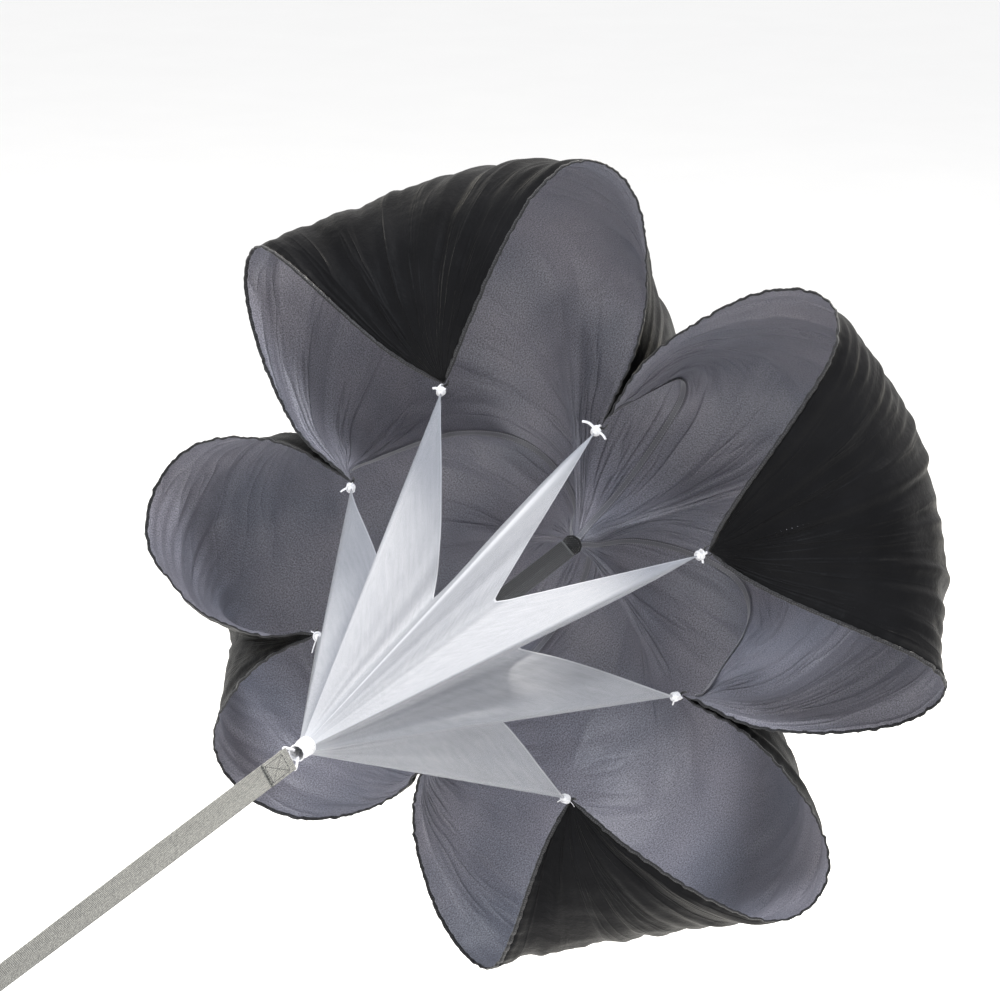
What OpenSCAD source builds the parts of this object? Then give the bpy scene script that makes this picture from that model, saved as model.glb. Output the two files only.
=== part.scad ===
// Resistance parachute on a tow strap: a square canopy tied down at its four
// corners and four mid-sides to a converging net, a webbing strap and a snap hook.
// The tow line is the Y axis. The origin is the seat of the hook, the canopy is at +Y
// and its mouth faces -Y. Lengths are in millimetres.

/* [Canopy] */
// Radius of the circle through the eight ties
tie_radius = 250; // [210:5:300]
// How far a corner tie stands out of that circle and forward of it
corner_rise = 12; // [0:1:25]
// Depth of the canopy's centre behind the ties
centre_depth = 200; // [120:5:240]
// Depth of the canopy's crown behind the ties
crown_depth = 425; // [400:5:480]
// Radius of the canopy's brim above a corner tie
brim_radius = 475; // [440:5:540]
// Extra radius of the hem at the tip of a lobe
lobe_reach = 242; // [190:2:260]
// How far the tip of a lobe falls back behind the ties
lobe_fall = 112; // [80:2:130]
// Turn of the canopy about the tow line
canopy_turn = 18; // [0:1:44]
// Thickness of the canopy cloth
cloth = 1.6; // [1.2:0.1:2.4]
// Radius of the rolled hem
hem_r = 1.6; // [1.2:0.1:2.2]
// Depth of the seam allowance in the valleys
seam_depth = 8; // [5:1:12]

/* [Net] */
// Distance from the ties to the net's gathered end
net_length = 600; // [480:10:720]
// Share of a strand's length that the net's edge dips between two ties
net_dip = 0.42; // [0.3:0.01:0.5]
// Thickness of the net
net_thick = 1.2; // [1:0.1:1.8]
// Radius of the gathered end of the net
gather_r = 9; // [7:0.5:12]

/* [Strap] */
// Distance from the hook's seat to the net's loop
strap_reach = 850; // [700:10:1400]
// Width of the webbing
web_w = 25; // [20:1:30]
// Thickness of the webbing
web_t = 1.8; // [1.4:0.1:2.4]
// Twist of the strap over its length
strap_twist = -30; // [-60:5:60]
// Length of the sewn lap at each end of the strap
lap = 46; // [36:2:60]

/* [Hook] */
// Radius of the hook's bow, at the middle of its wire
bow_r = 10; // [9:0.5:13]
// Radius of the hook's wire
wire_r = 3; // [2.6:0.1:3.2]
// Length of the hook's spine
spine = 38; // [34:1:46]
// Radius of the swivel's post
post_r = 3; // [2.6:0.1:3.4]
// Radius of the gate's pin
pin_r = 1.25; // [1:0.05:1.5]
// Clearance of a running fit
run = 0.06; // [0.04:0.01:0.09]

/* [Hidden] */
clear = 0.3;
skin = 0.2;
u_steps = 20;
s_steps = 13;
sides = 6;

// Places along the tow line, measured from the hook's seat.
hub_len = 9;
hub_y = spine;
eye_gap = 12;
eye_wire = 2.4;
eye_in = 9;
eye_y = hub_y + hub_len + eye_gap;
bar_y = eye_y + eye_in + eye_wire;
net_loop_leg = 20;
sleeve_lip = 6;
net_loop_y = strap_reach;
sleeve_y = net_loop_y + net_loop_leg;
apex_y = sleeve_y + sleeve_lip;
ring_y = apex_y + net_length;
centre_y = ring_y + centre_depth;

// ---- Small vector tools ----
function unit(v) = v / norm(v);
function mix(a, b, t) = a + (b - a) * t;
function clamp01(t) = min(1, max(0, t));
function bezier(p, t) = p[0] * pow(1 - t, 3) + p[1] * 3 * t * pow(1 - t, 2)
  + p[2] * 3 * t * t * (1 - t) + p[3] * pow(t, 3);

// ---- The canopy's form ----
// A point of the canopy has s, 0 at the centre and 1 at the hem, and u, 0 on the line
// to a corner tie and 1 or -1 on the seams to the mid-side ties. Its local frame has
// z forward along the tow line and x towards the corner.
nose_r = 16;
valley_gap = cloth + 0.4;
corner_tie = [tie_radius + corner_rise, corner_rise];
middle_tie = [tie_radius - corner_rise, -corner_rise];
corner_line = [[nose_r, -centre_depth], [nose_r + 170, 70 - 1.67 * crown_depth],
  [1.6 * brim_radius, 140 - 0.63 * crown_depth], corner_tie];
middle_line = [[nose_r, -centre_depth], [nose_r + 4, 20 - 1.36 * crown_depth],
  [tie_radius - 50, 45 - crown_depth], middle_tie];
function flare(s) = pow(clamp01((s - 0.62) / 0.38), 1.35);
function fall(s) = pow(clamp01(s / 0.88), 3);
function lobe(u) = sin(180 * pow(abs(u), 0.9));
function profile(u, s) = mix(bezier(corner_line, s), bezier(middle_line, s), abs(u))
  + lobe(u) * [lobe_reach * flare(s), -lobe_fall * fall(s)];
// The valleys over the seams are open at the crown and close towards the hem.
function bearing(u, s, r) = sign(u) * (45 - asin(valley_gap / r))
  * mix(abs(u), sin(90 * abs(u)), s * s);
function canopy_point(u, s) = let (p = profile(u, s), a = bearing(u, s, p[0]))
  [p[0] * cos(a), p[0] * sin(a), p[1]];
function canopy_along(u, s) = unit(canopy_point(u, min(1, s + 0.01))
  - canopy_point(u, min(1, s + 0.01) - 0.01));
function canopy_across(u, s) = let (v = min(0.99, max(-0.99, u)))
  unit(canopy_point(v + 0.01, s) - canopy_point(v - 0.01, s));
function canopy_inward(u, s) = unit(cross(canopy_along(u, s), canopy_across(u, s)));

// Tie number k, counted round the ring, in the ring's frame.
function tie_polar(k) = k % 2 == 0 ? corner_tie : middle_tie;
function tie_point(k) = let (p = tie_polar(k), a = 45 * k)
  [p[0] * cos(a), p[0] * sin(a), p[1]];

module canopy_frame() {
  translate([0, ring_y, 0]) rotate([90, 0, 0]) rotate([0, 0, canopy_turn]) children();
}

// Stands children on tie k with z along the strand to the net's gathered end.
module at_tie(k) {
  p = tie_point(k);
  d = [0, 0, net_length] - p;
  canopy_frame() translate(p) rotate([0, acos(d[2] / norm(d)), atan2(d[1], d[0])])
    children();
}

// ---- Solids from grids of points ----
// A closed skin between two grids of rows by cols points.
module skin_solid(outer, inner, rows, cols) {
  n = rows * cols;
  at = function(i, j) i * cols + j;
  top = [for (i = [0:rows - 2], j = [0:cols - 2])
    each [[at(i, j), at(i + 1, j + 1), at(i, j + 1)], [at(i, j), at(i + 1, j), at(i + 1, j + 1)]]];
  base = [for (f = top) [n + f[0], n + f[2], n + f[1]]];
  rim = concat([for (i = [0:rows - 1]) at(i, 0)], [for (j = [1:cols - 1]) at(rows - 1, j)],
    [for (i = [rows - 2:-1:0]) at(i, cols - 1)], [for (j = [cols - 2:-1:1]) at(0, j)]);
  m = len(rim);
  wall = [for (i = [0:m - 1]) let (a = rim[i], b = rim[(i + 1) % m])
    each [[b, a, n + a], [b, n + a, n + b]]];
  polyhedron(concat(outer, inner), concat(top, base, wall));
}

// A closed bar through rings of equal length.
module ring_solid(rings) {
  n = len(rings);
  m = len(rings[0]);
  wall = [for (i = [0:n - 2], j = [0:m - 1]) let (k = (j + 1) % m)
    each [[i * m + j, i * m + k, (i + 1) * m + k], [i * m + j, (i + 1) * m + k, (i + 1) * m + j]]];
  ends = [[for (j = [m - 1:-1:0]) j], [for (j = [0:m - 1]) (n - 1) * m + j]];
  polyhedron([for (r = rings) each r], concat(wall, ends));
}

// ---- Canopy ----
module canopy_panel(k) {
  pts = [for (i = [0:s_steps], j = [0:u_steps]) [2 * j / u_steps - 1, i / s_steps]];
  outer = [for (p = pts) canopy_point(p[0], p[1])];
  inner = [for (p = pts) canopy_point(p[0], p[1]) + cloth * canopy_inward(p[0], p[1])];
  color([0.20, 0.20, 0.23]) canopy_frame() rotate([0, 0, 90 * k])
    skin_solid(outer, inner, s_steps + 1, u_steps + 1);
}

tape_start = 0.03;
tape_lift = 2.2;
module seam_tape(k) {
  half = valley_gap - cloth + 0.5;
  line = function(s) bezier(middle_line, s);
  rings = [for (i = [0:s_steps]) let (s = mix(tape_start, 1, i / s_steps), p = line(s),
      e = min(1, s + 0.01), t = unit(line(e) - line(e - 0.01)), o = [t[1], -t[0]],
      a = p + o * tape_lift, b = p + o * seam_depth)
    [[a[0], half, a[1]], [b[0], half, b[1]], [b[0], -half, b[1]], [a[0], -half, a[1]]]];
  color([0.07, 0.07, 0.08]) canopy_frame() rotate([0, 0, 90 * k + 45]) ring_solid(rings);
}

// The hem of one lobe. It follows the straight runs of the panel's edge, and starts and
// ends a share of a run short of its two ties.
hem_gap = 0.5;
hem_start = 0.35;
hem_stop = 0.3;
module hem(k) {
  side = k % 2 == 0 ? 1 : -1;
  steps = u_steps / 2;
  spot = function(i) let (u = side * i / steps, in = canopy_inward(u, 1), on = canopy_along(u, 1))
    [canopy_point(u, 1) + hem_r * in + (hem_r + hem_gap) * on, in, on];
  rings = [for (i = [0:steps]) let (t = min(steps - hem_stop, max(hem_start, i)),
      j = min(steps - 1, floor(t)), p = mix(spot(j), spot(j + 1), t - j))
    [for (j = [0:sides - 1]) let (a = 360 * (side > 0 ? -j : j) / sides)
      p[0] + hem_r * (p[1] * cos(a) + p[2] * sin(a))]];
  color([0.05, 0.05, 0.06]) canopy_frame() rotate([0, 0, 90 * floor(k / 2)])
    ring_solid(rings);
}

// A small tape loop sewn to the hem at tie k.
loop_r = 5.5;
loop_wire = 1.0;
loop_stand = 2.0;
module edge_loop(k) {
  color([0.06, 0.06, 0.07]) at_tie(k) {
    translate([0, 0, loop_stand]) rotate([90, 0, 90]) rotate_extrude(angle = 180, $fn = 40)
      translate([loop_r, 0]) circle(r = loop_wire, $fn = 20);
    for (y = [-loop_r, loop_r]) translate([0, y, skin])
      cylinder(r = loop_wire, h = loop_stand - skin, $fn = 20);
  }
}

// The white tape that ties the net's tip to the edge loop: a link, a wrapped knot, tails.
tie_r = 5.0;
tie_wire = 1.0;
tie_stand = 10.2;
knot_base = 11;
knot_len = 9;
knot_bore = 4.1;
knot_r = 5.8;
module tie_tape(k) {
  color([0.92, 0.92, 0.94]) at_tie(k) {
    translate([0, 0, tie_stand]) rotate([-90, 0, 0]) rotate_extrude(angle = 180, $fn = 40)
      translate([tie_r, 0]) circle(r = tie_wire, $fn = 20);
    for (x = [-tie_r, tie_r]) translate([x, 0, tie_stand])
      cylinder(r = tie_wire, h = knot_base - tie_stand + 1, $fn = 20);
    translate([0, 0, knot_base]) difference() {
      cylinder(r = knot_r, h = knot_len, $fn = 48);
      translate([0, 0, -1]) cylinder(r = knot_bore, h = knot_len + 2, $fn = 48);
    }
    for (t = [[40, 16], [-70, 9]]) translate([0, 0, knot_base + 5]) rotate([0, 0, t[0]])
      rotate([0, 62, 0]) translate([-2, -0.4, knot_r - 1.2]) cube([4, 0.8, t[1]]);
  }
}

// ---- Net ----
// t is 0 at the gathered end and 1 at the edge; w is 0 on strand k and 1 on strand k + 1.
net_tip = 12.5;
function strand(k, t) = let (p = tie_point(k), a = [0, 0, net_length - 14],
    d = unit(a - p), tip = p + d * net_tip, foot = a + unit([p[0], p[1], 0]) * gather_r * 0.7)
  mix(foot, tip, t);
// How far along the strands the net reaches, as a share, between two ties.
function reach(w) = 1 - net_dip * pow(sin(180 * w), 0.62);
function net_point(k, w, t) = let (q = t * reach(w),
    p = mix(strand(k, q), strand(k + 1, q), w), hollow = 1 - 0.10 * sin(180 * w) * sin(180 * q))
  [p[0] * hollow, p[1] * hollow, p[2]];
module mesh_net() {
  across = 6;
  rows = 14;
  cols = 8 * across;
  w_at = function(j) (j % across) / across;
  grid = [for (i = [0:rows - 1], j = [0:cols - 1])
    net_point(floor(j / across), w_at(j), i / (rows - 1))];
  thin = [for (i = [0:rows - 1], j = [0:cols - 1]) let (p = grid[i * cols + j])
    p - net_thick * unit([p[0], p[1], 0.25 * norm([p[0], p[1]])])];
  n = rows * cols;
  at = function(i, j) i * cols + (j % cols);
  side = [for (i = [0:rows - 2], j = [0:cols - 1])
    each [[at(i, j), at(i, j + 1), at(i + 1, j + 1)], [at(i, j), at(i + 1, j + 1), at(i + 1, j)]]];
  inside = [for (f = side) [n + f[0], n + f[2], n + f[1]]];
  ends = [for (j = [0:cols - 1]) let (a = at(0, j), b = at(0, j + 1),
      c = at(rows - 1, j), d = at(rows - 1, j + 1))
    each [[b, a, n + a], [b, n + a, n + b], [c, d, n + d], [c, n + d, n + c]]];
  color([0.86, 0.87, 0.90, 0.6]) canopy_frame()
    polyhedron(concat(grid, thin), concat(side, inside, ends));
}

// The sewn tape sleeve round the gathered net, and the binding at its mouth.
sleeve_wall = 1.6;
sleeve_len = 24;
binding_r = 0.9;
module net_collar() {
  color([0.85, 0.86, 0.88]) translate([0, sleeve_y, 0]) rotate([-90, 0, 0])
    difference() {
      cylinder(r = gather_r + sleeve_wall, h = sleeve_len, $fn = 64);
      translate([0, 0, 4]) cylinder(r = gather_r, h = sleeve_len, $fn = 64);
      translate([-web_w / 2 - 1, -web_t - clear, -1])
        cube([web_w + 2, 2 * web_t + 2 * clear, 6]);
    }
}
module collar_binding() {
  color([0.75, 0.76, 0.78]) translate([0, sleeve_y + sleeve_len + skin, 0])
    rotate([90, 0, 0]) mirror([0, 0, 1]) rotate_extrude($fn = 64)
      translate([gather_r + binding_r, binding_r]) circle(r = binding_r, $fn = 24);
}

// ---- Net loop ----
// A cord loop: a bar through the strap's turn, and two legs that close into the collar.
loop_cord = 1.6;
loop_half = web_w / 2 + loop_cord + clear;
loop_foot = gather_r - loop_cord - 1;
module net_loop() {
  top = net_loop_leg - clear - loop_cord / 2;
  knee = loop_cord + clear + web_t + clear;
  line = [[top, -loop_foot], [knee, -loop_half], [0, -loop_half],
    [0, loop_half], [knee, loop_half], [top, loop_foot]];
  last = len(line) - 1;
  rings = [for (i = [0:last]) let (d = unit(line[min(last, i + 1)] - line[min(last - 1, i)]),
      e = unit(line[max(1, i)] - line[max(0, i - 1)]), t = unit(d + e),
      mitre = loop_cord / (d * t))
    [for (j = [0:9]) let (c = mitre * cos(36 * j))
      [loop_cord * sin(36 * j), line[i][0] - c * t[1], line[i][1] + c * t[0]]]];
  color([0.80, 0.81, 0.84]) translate([0, net_loop_y, 0]) rotate([0, strap_twist, 0])
    ring_solid([for (r = rings) [for (j = [9:-1:0]) r[j]]]);
}

// ---- Strap ----
// The webbing turns round the swivel's bar at one end and through the net's loop at
// the other, and is sewn back on itself over a lap at both ends.
bar_in = eye_wire + clear;
turn_leg = 6;
run_start = bar_y + bar_in + turn_leg - 2;
end_in = loop_cord + clear;
run_end = net_loop_y - end_in - turn_leg;

// The folded end of the webbing, seen from above: a half turn of inner radius r about
// the origin, two legs that close over len, and the laps on both faces of the run.
module folded_end(r, len) {
  bite = 0.1;
  linear_extrude(web_w, center = true) {
    difference() {
      circle(r = r + web_t, $fn = 64);
      circle(r = r, $fn = 64);
      translate([-2 * r - web_t, 0]) square([4 * r + 2 * web_t, r + web_t + 1]);
    }
    for (s = [-1, 1])
      polygon([[s * r, -bite], [s * (r + web_t), -bite], [s * (1.5 * web_t), len],
        [s * (1.5 * web_t), len + lap], [s * web_t / 2, len + lap], [s * web_t / 2, len]]);
  }
}
module strap_eye_turn() {
  color([0.56, 0.56, 0.53]) translate([0, bar_y, 0]) folded_end(bar_in, run_start - bar_y);
}
module strap_net_turn() {
  color([0.56, 0.56, 0.53]) translate([0, net_loop_y, 0]) rotate([0, strap_twist, 0])
    mirror([0, 1, 0]) folded_end(end_in, net_loop_y - run_end);
}
// The run between the folded ends; it lies flat in the laps and twists between them.
module tow_strap() {
  steps = 36;
  first = run_start + lap + 10;
  last = run_end - lap - 10;
  ease = function(t) t * t * (3 - 2 * t);
  stops = concat([[run_start, 0]],
    [for (i = [0:steps]) [mix(first, last, i / steps), strap_twist * ease(i / steps)]],
    [[run_end, strap_twist]]);
  half_t = web_t / 2 - 0.01;
  rings = [for (p = stops) let (c = cos(p[1]), d = sin(p[1]))
    [for (q = [[-1, -1], [1, -1], [1, 1], [-1, 1]]) let (x = q[0] * half_t, z = q[1] * web_w / 2)
      [x * c + z * d, p[0], z * c - x * d]]];
  color([0.56, 0.56, 0.53]) ring_solid(rings);
}

// A box of stitches with a cross, sewn through a lap; on both faces.
module stitch_box(len) {
  half = web_w / 2 - 3;
  face = 1.5 * web_t + skin;
  for (s = [-1, 1]) translate([s * face, 0, 0]) {
    for (z = [-half, half], y = [3:3.2:len - 3]) translate([0, y, z])
      cube([0.4, 2.2, 0.7], center = true);
    for (y = [3, len - 3], z = [-half + 3:3.2:half - 2]) translate([0, y, z])
      cube([0.4, 0.7, 2.2], center = true);
    for (m = [-1, 1], i = [1:7]) let (y = mix(5, len - 5, i / 8), z = mix(2 - half, half - 2, i / 8))
      translate([0, y, m * z]) rotate([m * 28, 0, 0]) cube([0.4, 2.2, 0.7], center = true);
  }
}
module eye_end_stitching() {
  color([0.16, 0.16, 0.17]) translate([0, run_start, 0]) stitch_box(lap);
}
module net_end_stitching() {
  color([0.16, 0.16, 0.17]) translate([0, run_end - lap, 0]) rotate([0, strap_twist, 0])
    stitch_box(lap);
}

// ---- Centre webbing ----
web_end = 12;
web_gap = 34;
module centre_webbing() {
  start = sleeve_y + sleeve_len + web_gap;
  color([0.05, 0.05, 0.05]) translate([0, start, 0]) rotate([-90, 0, 0])
    linear_extrude(centre_y - web_end - start) square([web_w, web_t], center = true);
}
module centre_tab() {
  color([0.06, 0.06, 0.06]) translate([0, centre_y - web_end + skin, 0])
    rotate([-90, 0, 0]) cylinder(r1 = web_w / 2, r2 = nose_r - 2, h = web_end - 2, $fn = 48);
}
module centre_patch() {
  color([0.06, 0.06, 0.06]) translate([0, centre_y + 0.5, 0]) rotate([-90, 0, 0])
    cylinder(r = nose_r - cloth - 1, h = 3, $fn = 48);
}
module tab_stitching() {
  count = 16;
  color([0.30, 0.30, 0.30]) translate([0, centre_y - 1.4, 0]) rotate([-90, 0, 0])
    for (i = [0:count - 1]) rotate([0, 0, 360 * i / count]) translate([nose_r - 6, 0, 0])
      cube([0.7, 2.4, 0.5], center = true);
}

// ---- Hook ----
pivot = [bow_r - 1, spine - 6];
ear_gap = 4.6;
ear_t = 2.2;
gate_r = 2.4;
lug_t = ear_gap - 2 * clear;
nose_y = 5;
ear_r = 3.2;
rivet_t = 0.8;
hub_r = 6.8;
module wire_run(a, b, r) {
  d = b - a;
  translate(a) rotate([0, acos(d[2] / norm(d)), atan2(d[1], d[0])])
    cylinder(r = r, h = norm(d), $fn = 40);
}
module hook_body() {
  hub_mid = hub_y + hub_len / 2;
  color([0.30, 0.30, 0.32]) difference() {
    union() {
      rotate([0, 0, 180]) rotate_extrude(angle = 180, $fn = 64) translate([bow_r, 0])
        circle(r = wire_r, $fn = 32);
      wire_run([-bow_r, 0, 0], [-bow_r, hub_mid, 0], wire_r);
      wire_run([bow_r, 0, 0], [bow_r, nose_y - clear, 0], wire_r);
      translate([-bow_r, hub_mid, 0]) sphere(r = wire_r, $fn = 40);
      translate([0, hub_y, 0]) rotate([-90, 0, 0]) cylinder(r = hub_r, h = hub_len, $fn = 64);
      translate([-bow_r, hub_mid - 3, -3]) cube([2 * bow_r + 1, 6, 6]);
      for (z = [-ear_gap / 2 - ear_t, ear_gap / 2]) translate([0, 0, z]) {
        translate([pivot[0], pivot[1], 0]) cylinder(r = ear_r, h = ear_t, $fn = 40);
        translate([pivot[0] - ear_r, pivot[1], 0]) cube([2 * ear_r, hub_mid - pivot[1] + 2, ear_t]);
      }
    }
    translate([0, hub_y - 1, 0]) rotate([-90, 0, 0])
      cylinder(r = post_r + run, h = hub_len + 2, $fn = 64);
    translate([pivot[0], pivot[1], -10]) cylinder(r = pin_r + run, h = 20, $fn = 40);
    translate([pivot[0] - 3.6, pivot[1] - 4, -ear_gap / 2]) cube([8, 7.6, ear_gap]);
  }
}
module hook_gate() {
  color([0.55, 0.55, 0.57]) difference() {
    union() {
      translate([pivot[0], pivot[1], -lug_t / 2]) cylinder(r = 2.9, h = lug_t, $fn = 40);
      wire_run([pivot[0], pivot[1] - 2.2, 0], [bow_r, nose_y + gate_r, 0], gate_r * 0.82);
      translate([bow_r, nose_y + gate_r, 0]) sphere(r = gate_r, $fn = 40);
    }
    translate([pivot[0], pivot[1], -10]) cylinder(r = pin_r + run, h = 20, $fn = 40);
    translate([pivot[0], pivot[1], -0.9]) cylinder(r = 2.2, h = 1.8, $fn = 40);
  }
}
module gate_pin() {
  half = ear_gap / 2 + ear_t + skin;
  color([0.62, 0.62, 0.64]) translate([pivot[0], pivot[1], 0]) {
    cylinder(r = pin_r, h = 2 * half, center = true, $fn = 40);
    for (z = [-half - rivet_t, half]) translate([0, 0, z]) cylinder(r = 2.1, h = rivet_t, $fn = 40);
  }
}
// A few turns of wire round the pin, in the gate's slot.
module gate_spring() {
  turns = 2.25;
  wire = 0.22;
  coil = pin_r + 0.5;
  steps = 40;
  rings = [for (i = [0:steps]) let (a = 360 * turns * i / steps, z = mix(-0.6, 0.6, i / steps),
      o = [cos(a), sin(a), 0])
    [for (j = [0:5]) o * (coil + wire * cos(60 * j)) + [0, 0, z + wire * sin(60 * j)]]];
  color([0.75, 0.75, 0.76]) translate([pivot[0], pivot[1], 0]) ring_solid(rings);
}

// ---- Swivel ----
head_t = 2.2;
washer_t = 1.0;
eye_half = web_w / 2 + 1.2 + eye_wire;
module swivel_eye() {
  foot = hub_y + hub_len + washer_t + 2 * skin;
  color([0.42, 0.42, 0.44]) {
    translate([0, hub_y - 2 * skin - head_t, 0]) rotate([-90, 0, 0])
      cylinder(r = post_r, h = foot - hub_y + 2 * skin + head_t + 3, $fn = 64);
    translate([0, foot, 0]) rotate([-90, 0, 0]) cylinder(r1 = 5.6, r2 = 4.4, h = 5, $fn = 48);
    wire_run([0, eye_y - 4, -eye_half], [0, eye_y - 4, eye_half], eye_wire);
    wire_run([0, bar_y, -eye_half], [0, bar_y, eye_half], eye_wire);
    for (z = [-eye_half, eye_half]) {
      wire_run([0, eye_y - 4, z], [0, bar_y, z], eye_wire);
      for (y = [eye_y - 4, bar_y]) translate([0, y, z]) sphere(r = eye_wire, $fn = 40);
    }
  }
}
module swivel_head() {
  color([0.62, 0.62, 0.64]) translate([0, hub_y - skin - head_t, 0]) rotate([-90, 0, 0])
    difference() {
      cylinder(r = 4.7, h = head_t, $fn = 48);
      translate([0, 0, -1]) cylinder(r = post_r, h = head_t + 2, $fn = 64);
    }
}
module swivel_washer() {
  color([0.70, 0.70, 0.72]) translate([0, hub_y + hub_len + skin, 0]) rotate([-90, 0, 0])
    difference() {
      cylinder(r = 6, h = washer_t, $fn = 48);
      translate([0, 0, -1]) cylinder(r = post_r + run, h = washer_t + 2, $fn = 64);
    }
}

hook_body();
hook_gate();
gate_pin();
gate_spring();
swivel_eye();
swivel_head();
swivel_washer();
tow_strap();
strap_eye_turn();
strap_net_turn();
eye_end_stitching();
net_end_stitching();
net_loop();
net_collar();
collar_binding();
mesh_net();
centre_webbing();
centre_patch();
centre_tab();
tab_stitching();
canopy_panel(0);  // canopy_panel_1
canopy_panel(1);  // canopy_panel_2
canopy_panel(2);  // canopy_panel_3
canopy_panel(3);  // canopy_panel_4
seam_tape(0);  // seam_tape_1
seam_tape(1);  // seam_tape_2
seam_tape(2);  // seam_tape_3
seam_tape(3);  // seam_tape_4
hem(0);  // hem_1
hem(1);  // hem_2
hem(2);  // hem_3
hem(3);  // hem_4
hem(4);  // hem_5
hem(5);  // hem_6
hem(6);  // hem_7
hem(7);  // hem_8
edge_loop(0);  // edge_loop_1
edge_loop(1);  // edge_loop_2
edge_loop(2);  // edge_loop_3
edge_loop(3);  // edge_loop_4
edge_loop(4);  // edge_loop_5
edge_loop(5);  // edge_loop_6
edge_loop(6);  // edge_loop_7
edge_loop(7);  // edge_loop_8
tie_tape(0);  // tie_tape_1
tie_tape(1);  // tie_tape_2
tie_tape(2);  // tie_tape_3
tie_tape(3);  // tie_tape_4
tie_tape(4);  // tie_tape_5
tie_tape(5);  // tie_tape_6
tie_tape(6);  // tie_tape_7
tie_tape(7);  // tie_tape_8
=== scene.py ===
"""The looks of a resistance parachute on its tow strap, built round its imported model.

The tow line is the Y axis, the hook's seat is the origin and the mouth faces -Y. Ties are
numbered 0 to 7 round the mouth: the even ones are the square canopy's corners and the odd
ones the middles of its sides. Every length is in metres.
"""
import math

import bpy
import numpy as np
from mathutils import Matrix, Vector


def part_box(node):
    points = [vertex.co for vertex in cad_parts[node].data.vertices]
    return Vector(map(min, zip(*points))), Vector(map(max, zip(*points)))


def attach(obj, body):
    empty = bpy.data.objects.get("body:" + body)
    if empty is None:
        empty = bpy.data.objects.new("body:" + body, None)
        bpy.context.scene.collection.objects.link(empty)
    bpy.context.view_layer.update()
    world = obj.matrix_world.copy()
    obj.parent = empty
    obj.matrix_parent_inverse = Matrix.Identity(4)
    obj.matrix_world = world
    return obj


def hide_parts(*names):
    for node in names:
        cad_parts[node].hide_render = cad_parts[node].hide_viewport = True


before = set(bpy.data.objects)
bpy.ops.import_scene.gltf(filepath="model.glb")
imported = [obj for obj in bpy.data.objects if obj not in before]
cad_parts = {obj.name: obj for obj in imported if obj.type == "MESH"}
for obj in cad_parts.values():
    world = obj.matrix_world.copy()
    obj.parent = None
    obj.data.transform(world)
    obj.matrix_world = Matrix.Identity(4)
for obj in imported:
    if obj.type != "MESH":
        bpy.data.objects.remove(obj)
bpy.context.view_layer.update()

MM = 0.001
# The side of the flat cloth, and of the square that its blown shape is worked out from.
CLOTH_SIDE = 1.42
SEWN_SIDE = 1.365
CLOTH_THICK = 0.7 * MM
HEM_WIDTH = 5.0 * MM
SEAM_WIDTH = 9.0 * MM
STRAP_WIDTH = 25 * MM
STRAP_THICK = 1.8 * MM
STRAP_TWIST = math.radians(-30)
STRAP_LAP = 46 * MM
BAR_RADIUS = 2.7 * MM
CORD_RADIUS = 1.9 * MM
TOW_AXIS = np.array([0.0, 1.0, 0.0])
OFF_AXIS = np.array([1, 0, 1])
LENS, SENSOR = 128.8, 36
CAMERA_DISTANCE = 4.264
CAMERA_ANGLES = (21.7, 17.55)
VIEW_ANGLES = (21.9, 16.1)


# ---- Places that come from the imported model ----
def middle(node):
    low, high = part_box(node)
    return np.array((low + high) / 2)


def low_high(node):
    low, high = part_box(node)
    return np.array(low), np.array(high)


APEX_Y = low_high("net_collar")[0][1]
COLLAR_LOW, COLLAR_HIGH = low_high("net_collar")
BAR_Y = low_high("strap_eye_turn")[0][1] + STRAP_THICK + BAR_RADIUS
LOOP_Y = low_high("net_loop")[0][1] + 1.6 * MM
CENTRE = np.array([0.0, low_high("centre_tab")[1][1] + 1.8 * MM, 0.0])
GATHER = np.array([0.0, COLLAR_HIGH[1] - 8 * MM, 0.0])


def unit(v):
    return v / np.maximum(np.linalg.norm(v, axis=-1, keepdims=True), 1e-12)


def tie_place(k):
    """The point of the hem that tie k holds, just behind its loop of tape."""
    loop = middle(f"edge_loop_{k + 1}")
    return loop - 4.4 * MM * unit(GATHER - loop)


TIES = np.array([tie_place(k) for k in range(8)])
RING = TIES.mean(axis=0)
TURN = math.atan2(TIES[0][2], TIES[0][0])


def to_frame(points):
    """Canopy coordinates, x to corner tie 0 and z forward, into the part's own frame."""
    x, y, z = points[..., 0], points[..., 1], points[..., 2]
    c, s = math.cos(TURN), math.sin(TURN)
    return np.stack([x * c - y * s, RING[1] - z, x * s + y * c], axis=-1)


def to_canopy(points):
    x, y, z = points[..., 0], points[..., 2], RING[1] - points[..., 1]
    c, s = math.cos(TURN), math.sin(TURN)
    return np.stack([x * c + y * s, y * c - x * s, z], axis=-1)


def smooth(a, b, x):
    t = np.clip((x - a) / (b - a), 0, 1)
    return t * t * (3 - 2 * t)


# ---- Camera ----
def look(azimuth, elevation):
    """The unit vector back from what is looked at, to a camera at these angles."""
    a, e = math.radians(azimuth), math.radians(elevation)
    return Vector((math.sin(a) * math.cos(e), -math.cos(a) * math.cos(e), math.sin(e)))


def put(name, data):
    made = bpy.data.objects.new(name, data)
    bpy.context.scene.collection.objects.link(made)
    return made


def stand(thing, place, way):
    """Puts a camera or a lamp at place, to look along way."""
    thing.location = place
    thing.rotation_mode = "QUATERNION"
    thing.rotation_quaternion = way.to_track_quat("-Z", "Y")


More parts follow.
